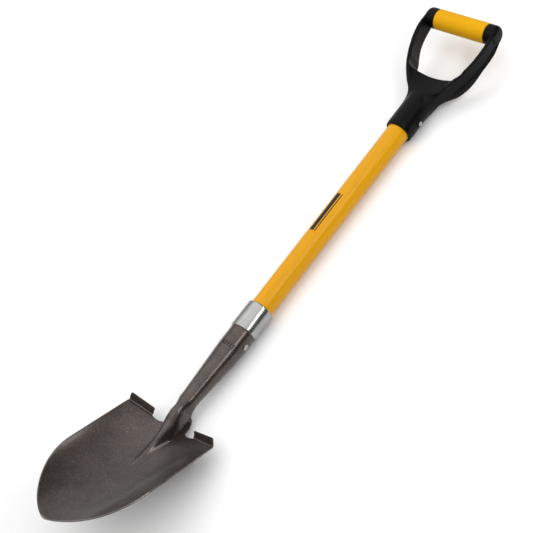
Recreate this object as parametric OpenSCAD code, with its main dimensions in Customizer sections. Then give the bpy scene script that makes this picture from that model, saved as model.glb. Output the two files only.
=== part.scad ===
// Garden spade with a D handle: a pressed steel digging head with turned steps,
// a glass-fibre shaft and a moulded grip. Millimetres. It lies on its back with
// the dished face up: +Y runs up the shaft to the grip, +X is across, +Z is up.

/* [Node] */
// which piece to draw

/* [Shaft] */
// outside diameter of the shaft
shaft_d = 32; // [31:0.5:32]
// wall of the glass-fibre tube
shaft_wall = 3.5; // [3:0.5:5]
// bare length between the steel ferrule and the grip
bare_l = 325; // [260:5:420]

/* [Digging head] */
// thickness of the pressed sheet
sheet_t = 1.7; // [1.4:0.1:2]
// width of the blade between its straight edges
blade_w = 149.6; // [145:0.2:158]
// width of a step, from the bend to its free edge
step_w = 11.3; // [9:0.1:13]
// straight length of the blade below the steps
straight_l = 91.5; // [80:1:110]
// length of the rounded nose
nose_l = 103.3; // [90:1:115]

/* [Ferrule] */
// outside diameter of the ferrule
ferrule_d = 39.1; // [38.6:0.1:40]
// length of the ferrule
ferrule_l = 40.5; // [34:0.5:48]

/* [Grip] */
// outside diameter of the hand bar's sleeve
sleeve_d = 29.9; // [28:0.5:32]
// length of the sleeve
sleeve_l = 83.4; // [80:0.2:86]
// how far the hand bar stands in front of the shaft's axis
crank = 31.75; // [28:0.5:34]
// thickness of a side arm at its rim
arm_t = 5.5; // [5:0.5:7]
// depth of a side arm, front to back
arm_d = 28.6; // [26:0.5:29]

/* [Fastenings] */
// shank diameter of both rivets
rivet_d = 4.8; // [4:0.2:5]
// head diameter of the lower rivet
rivet_head_d = 8.6; // [8:0.2:10]

/* [Hidden] */
$fn = 72;
shaft_r = shaft_d / 2;
core_r = shaft_r - shaft_wall;
fit_gap = 0.05;

// Everything is laid out from the ferrule's top end on the shaft's axis.
grip_y = bare_l + 180.5;              // hand bar's centre along the shaft
socket_y = bare_l + 0.1;              // rim of the grip's socket
tip_y = -194.2 - straight_l - nose_l; // point of the blade
top_y = grip_y + 15;
axis_z = 20.2;                        // height of the shaft's axis above the ground
mid_y = (top_y + tip_y) / 2;

// ---- head: one sheet, rolled at the top and dished below ----
half_w = blade_w / 2;
step_y = -193.5;
nose_y = step_y - straight_l;
toe_y = -274;                         // where the raised frog dies out
neck_y = -146;                        // where the rolled socket starts to open
sock_r0 = shaft_r + 0.12 + sheet_t;
sock_y0 = -33;
sock_y1 = -70;
sock_r1 = 12.95;
sock_tilt = 2.5;

function clamp(v, a, b) = max(a, min(b, v));
function smooth(v) = let(t = clamp(v, 0, 1)) t * t * (3 - 2 * t);
function mix(a, b, t) = a + (b - a) * t;

// half width of the blade, height of its rim and depth of the dish at y
function noseq(y) = clamp((nose_y - y) / nose_l, 0, 1);
function width_at(y) = half_w * pow(max(1 - pow(noseq(y), 2), 0), 0.7);
function rim_at(y) = y > nose_y
    ? 7.2 + 0.52 * (step_y - y)
    : let(q = noseq(y)) 7.2 + 0.52 * straight_l + (53.1 * q - 46.1 * q * q + 30.5 * q * q * q) * nose_l / 103.3;
function dish_at(y) = y > nose_y
    ? 16.1 + 12.2 * sin(90 * clamp((step_y - y) / straight_l, 0, 1))
    : 28.3 * pow(width_at(y) / half_w, 2.5);
function bottom_at(y) = y > step_y ? rim_at(step_y) - 16.1 - 0.022 * (y - step_y) : rim_at(y) - dish_at(y);
function h_vee(u) = (sqrt(u * u + 0.1225) - 0.35) / (sqrt(1.1225) - 0.35);
function h_pan(u) = 0.75 * u * u + 0.25 * pow(u, 4);
function dish(x, y) = let(
    u = abs(x) / (y > nose_y ? half_w : max(width_at(y), 0.01)),
    m = smooth((step_y - y) / 52))
    bottom_at(y) + (y > step_y ? 16.1 : dish_at(y)) * mix(h_vee(u), h_pan(u), m);

// the frog: the ridge that carries the socket's front down into the blade
function frog_h(y) = y > -200
    ? 18.4 + 8 * sin(90 * clamp((y + 200) / 24, 0, 1))
    : 18.4 * pow(max((y - toe_y) / (-200 - toe_y), 0), 1.9);
function frog_w(y) = y > step_y ? mix(14, 12.6, clamp((y - step_y) / 34, 0, 1))
                                : max(14 - 10.8 * (step_y - y) / (step_y - toe_y), 2.6);
// half width of the sheet where it flares from the rolled socket to the notch
function flare_at(y) = mix(12.9, 19.4, smooth((-166 - y) / 20));
function edge_at(y) = y > step_y - 1.4 ? flare_at(y) : width_at(y);

// a point of the sheet's front face: s = 0 on the centre line, 1 at the edge
function open_pt(s, y) = let(
    b = min(frog_w(y), edge_at(y) * 0.62),
    v = clamp(s * 2, 0, 1),
    w = clamp(s * 2 - 1, 0, 1),
    soft = smooth((-188 - y) / 42),
    x = s < 0.5 ? b * mix(sin(90 * v), v, soft) : mix(b, edge_at(y), w),
    up = s < 0.5 ? frog_h(y) * mix(cos(90 * v), pow(cos(90 * v), 2), soft) : 0)
    [x, y, dish(x, y) + up];
function roll_r(y) = mix(sock_r0, sock_r1, clamp((sock_y1 - y) / (sock_y1 - neck_y), 0, 1.06));
function roll_z(y) = (sock_y1 - min(y, sock_y1)) * tan(sock_tilt);
function rolled_pt(s, y) = let(a = 178.5 * s, r = roll_r(y))
    [r * sin(a), y, mix(roll_z(y), roll_z(-152), smooth((-146 - y) / 20)) + r * cos(a)];
function sheet_pt(s, y) = let(m = smooth((neck_y - 11 - y) / 23))
    m <= 0 ? rolled_pt(s, y) : m >= 1 ? open_pt(s, y) : mix(rolled_pt(s, y), open_pt(s, y), m);
function sheet_n(s, y) = let(
    d = 0.04,
    a = sheet_pt(min(s + d / 8, 1), y) - sheet_pt(max(s - d / 8, 0), y),
    e = sheet_pt(s, y + d) - sheet_pt(s, y - d),
    n = cross(a, e))
    n / norm(n);

cols = 17; // points from the centre line to one edge
function s_at(i) = i / (cols - 1);
cut_y = step_y - 1.4;                 // where the blade's top edge starts to bend
rows_y = concat(
    [sock_y0, -52, sock_y1, -96, -122],
    [for (k = [0:12]) mix(neck_y, cut_y + 0.15, k / 12)],
    [for (k = [0:8]) mix(cut_y - 0.15, nose_y, pow(k / 8, 1.15))],
    [for (k = [1:13]) nose_y - nose_l * min(sin(90 * k / 13), 0.9992)]);

module sheet() {
    nr = len(rows_y);
    nc = 2 * cols - 1;
    face = [for (y = rows_y) for (j = [0:nc - 1]) let(
        i = j - (cols - 1), s = s_at(abs(i)), g = i < 0 ? -1 : 1, p = sheet_pt(s, y))
        [g * p[0], p[1], p[2]]];
    back = [for (y = rows_y) for (j = [0:nc - 1]) let(
        i = j - (cols - 1), s = s_at(abs(i)), g = i < 0 ? -1 : 1,
        n = sheet_n(s, y), p = sheet_pt(s, y) - sheet_t * (i == 0 ? [0, n[1], n[2]] / norm([n[1], n[2]]) : n))
        [g * p[0], p[1], p[2]]];
    o = nr * nc;
    polyhedron(concat(face, back), concat(
        [for (r = [0:nr - 2]) for (j = [0:nc - 2]) each
            [[r * nc + j, r * nc + j + 1, (r + 1) * nc + j + 1], [r * nc + j, (r + 1) * nc + j + 1, (r + 1) * nc + j]]],
        [for (r = [0:nr - 2]) for (j = [0:nc - 2]) each
            [[o + r * nc + j, o + (r + 1) * nc + j + 1, o + r * nc + j + 1],
             [o + r * nc + j, o + (r + 1) * nc + j, o + (r + 1) * nc + j + 1]]],
        [for (r = [0:nr - 2]) for (e = [0, nc - 1]) each let(
            a = r * nc + e, b = (r + 1) * nc + e)
            e == 0 ? [[a, b, o + b], [a, o + b, o + a]] : [[a, o + b, b], [a, o + a, o + b]]],
        [for (j = [0:nc - 2]) for (r = [0, nr - 1]) each let(
            a = r * nc + j, b = a + 1)
            r == 0 ? [[a, o + b, b], [a, o + a, o + b]] : [[a, b, o + b], [a, o + b, o + a]]]),
        convexity = 8);
}

// a tube or rod along +Y made by turning [radius, y] points
module turned(points) rotate([-90, 0, 0]) rotate_extrude($fn = 96) polygon(points);

step_in = 36.6;                       // inner end of each step
step_z0 = dish(step_in, step_y);
step_z1 = dish(half_w - 0.6, step_y);
step_tilt = atan((step_z1 - step_z0) / (half_w - 0.6 - step_in));
step_len = (half_w - 0.6 - step_in) / cos(step_tilt);
step_from = -23.4;                    // slope of the blade where the step leaves it
step_to = 52;                         // slope of the step itself
bend_r = 1.8;

// one step: a flat strip turned up from the blade's top edge, with its free corners rounded
module step_strip() {
    t = bend_r * tan((step_to - step_from) / 2);
    d1 = [cos(step_from), sin(step_from)];
    n1 = [-d1[1], d1[0]];
    d2 = [cos(step_to), sin(step_to)];
    n2 = [-d2[1], d2[0]];
    c = -t * d1 + bend_r * n1;
    arc = [for (k = [0:6]) let(a = mix(step_from, step_to, k / 6)) [-sin(a), cos(a)]];
    translate([step_in, step_y, step_z0]) rotate([0, -step_tilt, 0]) difference() {
        rotate([90, 0, 90]) linear_extrude(step_len) polygon(concat(
            [-(t + 3) * d1 - 0.25 * n1, -(t + 0.1) * d1 - 0.25 * n1],
            [for (n = arc) c - bend_r * n],
            [step_w * d2, step_w * d2 - sheet_t * n2],
            [for (k = [6:-1:0]) c - (bend_r + sheet_t) * arc[k]],
            [-(t + 0.1) * d1 - (sheet_t - 0.25) * n1, -(t + 3) * d1 - (sheet_t - 0.25) * n1]));
        rotate([step_to, 0, 0]) translate([0, 0, -4]) {
            linear_extrude(8) polygon([[-1, step_w - 1.6], [step_len + 1, step_w + 0.06],
                [step_len + 1, step_w + 4], [-1, step_w + 4]]);
            translate([step_len - 2.6, step_w - 2.62]) linear_extrude(8) difference() {
                square(6);
                circle(2.6, $fn = 40);
            }
            translate([2, step_w - 4.1]) rotate(90) linear_extrude(8) difference() {
                square(3);
                circle(2, $fn = 32);
            }
        }
    }
}

module head() {
    color("#5b524c") resize([0, 0, 0]) difference() {
        union() {
            sheet();
            for (g = [0, 1]) mirror([g, 0, 0]) step_strip();
        }
        // rounded notch between the flare and each step
        for (g = [-1, 1], x = [25.2, 30.9]) translate([g * x, step_y + 2.6, -30])
            cylinder(r = 5.6, h = 60, $fn = 48);
        for (g = [-1, 1]) translate([g * 28.05 - 2.85, step_y - 3, -30]) cube([5.7, 8, 60]);
        // hole for the rivet
        translate([-30, -57, 0]) rotate([0, 90, 0]) cylinder(d = rivet_d + 0.1, h = 60, $fn = 40);
    }
}

module ferrule() {
    r = ferrule_d / 2;
    color("#c9ccd0") turned(concat(
        [[shaft_r + fit_gap, 0 - 0.9], [shaft_r + fit_gap + 0.5, -0.25]],
        [for (a = [0:10:90]) [r - 2.2 + 2.2 * sin(a), -2.2 + 2.2 * cos(a)]],
        [[r, -ferrule_l + 0.5], [r - 0.5, -ferrule_l], [sock_r0 + fit_gap, -ferrule_l],
         [sock_r0 + fit_gap, sock_y0 + 0.4], [shaft_r + fit_gap, sock_y0 + 0.9]]));
}

module shaft_tube() {
    color("#e0a206") difference() {
        turned([[core_r, sock_y1 + 0.5], [shaft_r - 0.6, sock_y1 + 0.5], [shaft_r, sock_y1 + 1.4],
                [shaft_r, socket_y + 42], [shaft_r - 0.8, socket_y + 43], [core_r, socket_y + 43]]);
        for (y = [-57, socket_y + 25]) translate([-30, y, 0]) rotate([0, 90, 0])
            cylinder(d = rivet_d + 0.1, h = 60, $fn = 40);
    }
}

// hardwood plugs that keep the rivets from crushing the tube
module plug(y0, y1, hole_y) {
    r = core_r - fit_gap;
    color("#b98d5a") difference() {
        turned([[0, y0], [r - 1.2, y0], [r, y0 + 1.2], [r, y1 - 1.2], [r - 1.2, y1], [0, y1]]);
        translate([-30, hole_y, 0]) rotate([0, 90, 0]) cylinder(d = rivet_d + 0.1, h = 60, $fn = 40);
    }
}
module lower_plug() plug(sock_y1 + 0.6, -14, -57);
module upper_plug() plug(socket_y - 6, socket_y + 42.9, socket_y + 25);

// a rivet across the shaft with a low round head at each end
module rivet(y, seat, head_r, rise) {
    color("#d4d6d8") translate([0, y, 0]) rotate([0, 90, 0]) {
        cylinder(d = rivet_d, h = 2 * seat + 0.4, center = true, $fn = 40);
        for (g = [0, 1]) mirror([0, 0, g]) translate([0, 0, seat]) rotate_extrude($fn = 48)
            polygon(concat([[0, 0], [head_r, 0], [head_r, rise * 0.25]],
                [for (a = [15:15:90]) [head_r * cos(a), rise * 0.25 + rise * 0.75 * sin(a)]]));
    }
}
module head_rivet() rivet(-57, sock_r0, rivet_head_d / 2, 1.5);
module grip_rivet() rivet(socket_y + 25, 21.55, 3.7, 1.3);

// ---- grip: a D frame that leans forward from the shaft's axis ----
hub_y = bare_l + 46.2;                // where the leaning plane crosses the axis
lean = atan(crank / (grip_y - hub_y));
bar_q = sqrt(crank * crank + pow(grip_y - hub_y, 2));
arm_r = 152;                          // radius of an arm's outer curve
arm_cx = 60 - arm_r;
arm_cq = bar_q - 16;
function arm_x(q, r) = arm_cx + sqrt(max(r * r - pow(min(q, arm_cq) - arm_cq, 2), 0));
sock_gr = 20.2;

// the plane of the D: x across, q up the grip, n out of its front
module in_d() translate([0, hub_y, 0]) rotate([lean, 0, 0]) children();

// outline of the hand opening
function open_bottom(x) = 50.2 + x * x / 260;
fil = 15;
in_r = arm_r - arm_t;
fq = open_bottom(24) + fil;
fx = arm_x(fq, in_r) - fil + 0.6;
open_half = concat(
    [for (k = [0:4]) [k * 5.2, open_bottom(k * 5.2)]],
    [for (a = [-75:15:-15]) [fx + fil * cos(a), fq + fil * sin(a)]],
    [for (k = [0:12]) let(q = mix(fq + 3, bar_q - 23, k / 12)) [arm_x(q, in_r), q]],
    [for (a = [15:15:75]) [arm_x(bar_q, in_r) - 6 + 6 * cos(a), bar_q - 23 + 6 * sin(a)]],
    [[46, bar_q - 16.6]]);
module opening_2d() polygon(concat(open_half, [for (k = [len(open_half) - 1:-1:1]) [-open_half[k][0], open_half[k][1]]]));

// one section of the yoke between the round socket and the arms; the outer face is
// the arms' own curve, so it depends on how far up the D each point lies
function up_d(y, z) = (y - hub_y) * cos(lean) + z * sin(lean);
function out_x(y, z) = let(
    a = arm_x(up_d(y, z), arm_r),
    b = sock_gr - 1,
    k = 8 * (1 - smooth((y - hub_y - 14) / 30)))
    (a + b + sqrt(pow(a - b, 2) + k * k)) / 2;
// how much deeper the arms reach backwards where they leave the yoke
swell = 9;
waist = 3;
function rear_swell(q) = swell * smooth((q - 29) / 22) * (1 - smooth((q - 60) / 38))
    - waist * smooth((q - 8) / 14) * (1 - smooth((q - 26) / 14));
function yoke_half(y) = let(
    m = smooth((y - hub_y + 12) / 40),
    zc = (y - hub_y) * tan(lean),
    grow = smooth((y - hub_y - 5) / 44),
    fall = smooth((y - hub_y + 4) / 54),
    deep = arm_d / 2 / cos(lean),
    top = mix(15.9, zc + deep, grow),
    bot = mix(-15.9, zc - deep, grow) - rear_swell(y - hub_y),
    vf = max(zc + 2.5, mix(sock_gr, 14.3, fall)),
    vb = min(zc - 6.5, mix(-sock_gr, 5.3, fall)),
    wide = smooth((y - hub_y - 5) / 24),
    xt = mix(12.4, out_x(y, top), wide),
    xb = mix(12.4, out_x(y, bot), wide),
    target = concat(
        [for (t = [0, 0.3, 0.55, 0.75]) [t * (xt - arm_t * wide), vf + (top - vf) * pow(t, 3) * 0.7]],
        [[xt - arm_t * wide, top - 0.5], [xt - 0.9, top], [xt, top - 0.9]],
        [for (t = [0.12, 0.3, 0.5, 0.7, 0.88]) [out_x(y, mix(top, bot, t)), mix(top, bot, t)]],
        [[xb, bot + 0.9], [xb - 0.9, bot], [xb - arm_t * wide, bot + 0.5]],
        [for (t = [0.75, 0.55, 0.3, 0]) [t * (xb - arm_t * wide), vb + (bot - vb) * pow(t, 3) * 0.7]]),
    angs = [0, 10, 20, 28, 34, 38, 43, 55, 72, 90, 108, 125, 137, 142, 146, 152, 160, 170, 180])
    [for (i = [0:18]) let(c = [sock_gr * sin(angs[i]), sock_gr * cos(angs[i])]) mix(c, target[i], m)];
yoke_y = [for (k = [0:21]) mix(hub_y - 13, hub_y + 96, k / 21)];

module yoke() {
    nc = 36;
    pts = [for (y = yoke_y) let(h = yoke_half(y)) each concat(
        [for (i = [0:18]) [h[i][0], y, h[i][1]]],
        [for (i = [17:-1:1]) [-h[i][0], y, h[i][1]]])];
    nr = len(yoke_y);
    polyhedron(pts, concat(
        [[for (j = [0:nc - 1]) j]],
        [for (r = [0:nr - 2]) for (j = [0:nc - 1]) let(k = (j + 1) % nc) each
            [[r * nc + j, (r + 1) * nc + j, (r + 1) * nc + k], [r * nc + j, (r + 1) * nc + k, r * nc + k]]],
        [[for (j = [nc - 1:-1:0]) (nr - 1) * nc + j]]), convexity = 6);
}

// the two arms: outer and inner curves, with a shallow channel along the outside
module arm() {
    q0 = 90;
    q1 = bar_q + 1;
    n = 10;
    linear_extrude(arm_d, center = true) polygon(concat(
        [for (k = [0:n]) let(q = mix(q0, q1, k / n)) [arm_x(q, arm_r), q]],
        [for (k = [n:-1:0]) let(q = mix(q0, q1, k / n)) [arm_x(q, arm_r) - arm_t, q]]));
}
module channel() {
    q0 = 34;
    q1 = bar_q - 9;
    n = 16;
    linear_extrude(arm_d - 6.4, center = true) polygon(concat(
        [for (k = [0:n]) let(q = mix(q0, q1, k / n)) [arm_x(q, arm_r) + 3, q]],
        [for (k = [n:-1:0]) let(q = mix(q0, q1, k / n)) [arm_x(q, arm_r) - 1.6 * smooth(k / 3), q]]));
}

// the end of the hand bar: a short round boss with a rounded shoulder
module bar_end() {
    r = sleeve_d / 2 - 0.1;
    x0 = sleeve_l / 2 + 0.2;
    translate([0, bar_q, 0]) rotate([0, 90, 0]) rotate_extrude($fn = 60) polygon(concat(
        [[0, x0], [r, x0]],
        [for (a = [0:15:90]) [r - 8 + 8 * cos(a), 52.2 + 8 * sin(a)]],
        [[0, 60.2]]));
}

// the elbows: square-edged arms that round off as they reach the hand bar
module elbow_shape() {
    module slab(q, r) translate([0, q, 0]) rotate([90, 0, 0]) linear_extrude(0.1)
        offset(r, $fn = 32) square([120.4 - 2 * r, 2 * 14.85 - 2 * r], center = true);
    translate([-70, -100, -60]) cube([140, 72 + bar_q, 120]);
    hull() {
        slab(bar_q - 28.5, 0.6);
        slab(bar_q - 3, 8);
    }
    hull() {
        slab(bar_q - 3, 8);
        slab(bar_q + 16, 8);
    }
}

module grip_frame() {
    color("#26262a") resize([0, 0, 0]) difference() {
        union() {
            turned([[0, socket_y + 1], [18.3, socket_y], [19.2, socket_y + 0.4], [sock_gr - 0.3, socket_y + 1.6],
                    [sock_gr, socket_y + 6], [sock_gr, hub_y + 1], [17, hub_y + 7], [0, hub_y + 9]]);
            translate([0, socket_y + 25, 0]) rotate([0, 90, 0])
                cylinder(r = 5.8, h = 43, center = true, $fn = 36);
            difference() {
                union() {
                    yoke();
                    in_d() intersection() {
                        for (g = [0, 1]) mirror([g, 0, 0]) arm();
                        elbow_shape();
                    }
                }
                in_d() linear_extrude(90, center = true) opening_2d();
                in_d() for (g = [0, 1]) mirror([g, 0, 0]) channel();
            }
            in_d() {
                for (g = [0, 1]) mirror([g, 0, 0]) bar_end();
                translate([0, bar_q, 0]) rotate([0, 90, 0]) cylinder(r = 10.5, h = 96, center = true, $fn = 60);
            }
        }
        // socket for the shaft
        turned([[0, socket_y - 2], [shaft_r + fit_gap + 1, socket_y - 2], [shaft_r + fit_gap, socket_y + 1],
                [shaft_r + fit_gap, socket_y + 43.1], [0, socket_y + 43.1]]);
        translate([-30, socket_y + 25, 0]) rotate([0, 90, 0]) cylinder(d = rivet_d + 0.1, h = 60, $fn = 40);
    }
}

module grip_sleeve() {
    r = sleeve_d / 2;
    h = sleeve_l / 2;
    color("#e8b421") in_d() translate([0, bar_q, 0]) rotate([0, 90, 0]) rotate_extrude($fn = 96)
        polygon([[10.5 + fit_gap, -h], [r - 0.8, -h], [r, -h + 0.8], [r, h - 0.8], [r - 0.8, h], [10.5 + fit_gap, h]]);
}

module place() translate([0, -mid_y, axis_z]) children();

place() head();
place() ferrule();
place() shaft_tube();
place() lower_plug();
place() upper_plug();
place() head_rivet();
place() grip_frame();
place() grip_sleeve();
place() grip_rivet();
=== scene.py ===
"""Garden spade with a D handle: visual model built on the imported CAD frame.

Lengths inside the builders are millimetres from the top end of the ferrule, on
the shaft's axis: x across, y towards the grip, z out of the dished face.
"""

import bmesh
import bpy
from math import atan, atan2, cos, hypot, pi, radians, sin, sqrt, tan
from mathutils import Matrix, Vector


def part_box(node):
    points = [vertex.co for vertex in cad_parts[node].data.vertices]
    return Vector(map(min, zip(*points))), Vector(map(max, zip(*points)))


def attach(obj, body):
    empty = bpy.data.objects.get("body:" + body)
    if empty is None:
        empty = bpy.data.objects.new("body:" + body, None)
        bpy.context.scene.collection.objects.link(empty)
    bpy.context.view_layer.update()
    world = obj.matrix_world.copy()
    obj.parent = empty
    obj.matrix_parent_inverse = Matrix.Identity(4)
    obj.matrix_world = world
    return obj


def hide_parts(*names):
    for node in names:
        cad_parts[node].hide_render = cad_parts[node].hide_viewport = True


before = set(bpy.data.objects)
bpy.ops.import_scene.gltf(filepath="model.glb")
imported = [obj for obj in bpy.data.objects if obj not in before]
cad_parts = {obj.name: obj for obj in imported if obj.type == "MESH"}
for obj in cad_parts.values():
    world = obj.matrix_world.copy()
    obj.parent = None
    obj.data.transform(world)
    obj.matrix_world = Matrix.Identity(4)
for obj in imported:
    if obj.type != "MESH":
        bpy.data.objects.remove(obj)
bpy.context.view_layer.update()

bl_info = {
    "name": "Garden Spade",
    "version": (1, 0, 0),
    "blender": (4, 5, 0),
    "location": "3D View > Sidebar > Spade",
    "description": "Builds a garden spade with a pressed steel head, glass-fibre shaft and D grip",
    "category": "Add Mesh",
}


# ---- where the CAD pieces are ----

def extent(node, axis):
    """Low and high side of a CAD piece along one axis, in metres."""
    lo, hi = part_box(node)
    return lo[axis], hi[axis]


FERRULE_TOP = extent("ferrule", 1)[1]
AXIS_HEIGHT = sum(extent("shaft_tube", 2)) / 2
SLEEVE_LO, SLEEVE_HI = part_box("grip_sleeve")
ORIGIN = Vector((0, FERRULE_TOP, AXIS_HEIGHT))


def local(v, axis):
    """A row-frame coordinate in metres as millimetres from the ferrule's top end."""
    return (v - ORIGIN[axis]) * 1000


def at(x, y, z):
    """Millimetres from the ferrule's top end to a point of the row frame in metres."""
    return Vector((x, y, z)) * 0.001 + ORIGIN


SHAFT_R = (extent("shaft_tube", 0)[1] - extent("shaft_tube", 0)[0]) * 500
SHAFT_LOW, SHAFT_TOP = (local(v, 1) for v in extent("shaft_tube", 1))
FERRULE_R = (extent("ferrule", 0)[1] - extent("ferrule", 0)[0]) * 500
FERRULE_LEN = -local(extent("ferrule", 1)[0], 1)
SLEEVE_HALF = SLEEVE_HI[0] * 1000
SLEEVE_R = (SLEEVE_HI[2] - SLEEVE_LO[2]) * 500
BAR_Y = local((SLEEVE_LO[1] + SLEEVE_HI[1]) / 2, 1)
BAR_Z = local((SLEEVE_LO[2] + SLEEVE_HI[2]) / 2, 2)
SOCKET_Y = SHAFT_TOP - 43
HEAD_RIVET_Y = -57
GRIP_RIVET_Y = SOCKET_Y + 25


# ---- sizes and colours that can be changed ----

def colour_prop(name, description, default):
    return bpy.props.FloatVectorProperty(
        name=name, description=description, default=default, size=3, min=0, max=1, subtype="COLOR")


def length_prop(name, description, default, low, high):
    return bpy.props.FloatProperty(
        name=name, description=description, default=default, min=low, max=high,
        unit="LENGTH", subtype="DISTANCE", precision=5)


class SpadeHeadSettings(bpy.types.PropertyGroup):
    """Sheet and coating of the digging head"""
    sheet: length_prop("Sheet", "Thickness of the pressed sheet", 0.0017, 0.001, 0.003)
    step_width: length_prop(
        "Step width", "From the bend to the free edge of a step", 0.0113, 0.008, 0.014)
    coat: colour_prop("Coat", "Colour of the speckled coat", (0.058, 0.043, 0.037))
    fleck: colour_prop("Fleck", "Colour of the light flecks in the coat", (0.26, 0.235, 0.22))
    bare: colour_prop(
        "Bare steel", "Steel that shows where the coat is rubbed", (0.30, 0.28, 0.265))


class SpadeShaftSettings(bpy.types.PropertyGroup):
    """Shaft, ferrule and rivets"""
    yellow: colour_prop("Yellow", "Resin colour of the shaft", (0.70, 0.325, 0.0008))
    print_colour: colour_prop("Print", "Colour of the printed bars", (0.012, 0.012, 0.012))
    steel: colour_prop("Bright steel", "Colour of the ferrule and the rivets", (0.36, 0.36, 0.355))
    lip: length_prop("Ferrule lip", "Radius of the ferrule's rolled top edge", 0.0022, 0.001, 0.003)


class SpadeGripSettings(bpy.types.PropertyGroup):
    """D handle and its sleeve"""
    black: colour_prop("Black", "Colour of the moulded frame", (0.0028, 0.0026, 0.0028))
    sleeve: colour_prop("Sleeve", "Colour of the hand bar's sleeve", (0.74, 0.37, 0.005))
    detail: length_prop(
        "Detail", "Size of the moulded frame's finest facets", 0.0007, 0.0004, 0.0015)


class SpadeStageSettings(bpy.types.PropertyGroup):
    """Floor, lights and camera"""
    floor: colour_prop("Floor", "Colour of the floor", (0.96, 0.96, 0.96))
    focal: bpy.props.FloatProperty(
        name="Focal length", description="Focal length on a 36 mm wide sensor, in millimetres",
        default=91.64, min=20, max=200)


# ---- small maths helpers ----

def clamp(v, a, b):
    return max(a, min(b, v))


def smooth(v):
    """0 below 0, 1 above 1, with a soft start and end between them."""
    t = clamp(v, 0, 1)
    return t * t * (3 - 2 * t)


def mix(a, b, t):
    return a + (b - a) * t


def spread(a, b, n, last=True):
    """Evenly spaced numbers from a to b in n steps."""
    return [mix(a, b, k / n) for k in range(n + (1 if last else 0))]


# ---- mesh helpers ----

def new_object(name, verts, faces, sharp=35):
    """A smooth-shaded mesh object, with edges steeper than `sharp` degrees kept crisp."""
    mesh = bpy.data.meshes.new(name)
    mesh.from_pydata([tuple(v) for v in verts], [], faces)
    mesh.validate()
    mesh.update()
    obj = bpy.data.objects.new(name, mesh)
    bpy.context.scene.collection.objects.link(obj)
    shade(obj, sharp)
    return obj


def shade(obj, sharp):
    obj.data.shade_smooth()
    obj.data.set_sharp_from_angle(angle=radians(sharp))


def bake_modifiers(obj):
    """Replaces the object's mesh with what its modifiers make of it."""
    graph = bpy.context.evaluated_depsgraph_get()
    made = bpy.data.meshes.new_from_object(obj.evaluated_get(graph))
    old = obj.data
    obj.modifiers.clear()
    obj.data = made
    bpy.data.meshes.remove(old)


def combine(obj, other, operation):
    """Adds or cuts `other`, which is used up."""
    mod = obj.modifiers.new("combine", "BOOLEAN")
    mod.operation = operation
    mod.solver = "MANIFOLD"
    mod.object = other
    bake_modifiers(obj)
    if not obj.data.vertices:
        raise RuntimeError(f"{obj.name}: combining it with {other.name} left nothing")
    bpy.data.objects.remove(other)
    return obj


def lathe(name, profile, place, segments, sharp=35):
    """Turns (radius, along) points; place(radius, angle, along) gives the point in metres."""
    verts, faces = [], []
    n = len(profile)
    for k in range(segments):
        a = 2 * pi * k / segments
        verts += [place(r, a, t) for r, t in profile]
    for k in range(segments):
        m = (k + 1) % segments
        for i in range(n):
            j = (i + 1) % n
            faces.append((k * n + i, k * n + j, m * n + j, m * n + i))
    return solid(name, verts, faces, sharp)


def solid(name, verts, faces, sharp=35):
    """A closed mesh object, with coinciding points joined and every face turned outwards."""
    obj = new_object(name, verts, faces, sharp)
    bm = bmesh.new()
    bm.from_mesh(obj.data)
    bmesh.ops.remove_doubles(bm, verts=bm.verts, dist=2e-6)
    bmesh.ops.dissolve_degenerate(bm, edges=bm.edges, dist=1e-6)
    bmesh.ops.recalc_face_normals(bm, faces=bm.faces)
    bm.to_mesh(obj.data)
    bm.free()
    shade(obj, sharp)
    return obj


def along_y(r, a, t):
    return at(r * sin(a), t, r * cos(a))


def along_bar(r, a, t):
    """About the hand bar's axis, which runs along x."""
    return at(t, BAR_Y + r * sin(a), BAR_Z + r * cos(a))


def across_at(y):
    """For lathe: about an axis that runs along x through the shaft's centre at y."""
    return lambda r, a, t: at(t, y + r * sin(a), r * cos(a))


def rivet_hole(y):
    """Cutter for the cross hole that a rivet passes through."""
    radius, reach = 2.45, 30
    profile = [(0, -reach), (radius, -reach), (radius, reach), (0, reach)]
    return lathe("hole", profile, across_at(y), 48)


def loft_faces(sections, n):
    """Faces of a closed loft through sections of n points each, with its two end caps."""
    last = (sections - 1) * n
    faces = [tuple(range(n)), tuple(range(last + n - 1, last - 1, -1))]
    for low in range(0, last, n):
        faces += [(low + j, low + n + j, low + n + (j + 1) % n, low + (j + 1) % n)
                  for j in range(n)]
    return faces


def prism(name, outline, place, low, high):
    """A closed prism; place(u, v, w) maps the outline's u, v and the height w."""
    verts = [place(u, v, w) for w in (low, high) for u, v in outline]
    return solid(name, verts, loft_faces(2, len(outline)))


def mirrored(place, side):
    """The same placing on the right (side 1) or the left (side -1)."""
    return lambda x, q, n: place(side * x, q, n)


def arc_points(x, y, r, angles):
    """Points on a circle about x, y at angles in degrees."""
    return [(x + r * cos(radians(a)), y + r * sin(radians(a))) for a in angles]


def tag(obj, name, value):
    """Stores value(x, y, z) for every point, in millimetres from the ferrule's top end."""
    attribute = obj.data.attributes.new(name, "FLOAT", "POINT")
    for i, v in enumerate(obj.data.vertices):
        p = (v.co - ORIGIN) * 1000
        attribute.data[i].value = value(p.x, p.y, p.z)


def finish_piece(obj, slot, material, *nodes):
    obj.data.materials.clear()
    obj.data.materials.append(material)
    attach(obj, "root")
    if nodes:
        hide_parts(*nodes)


# ---- shader helpers ----

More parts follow.
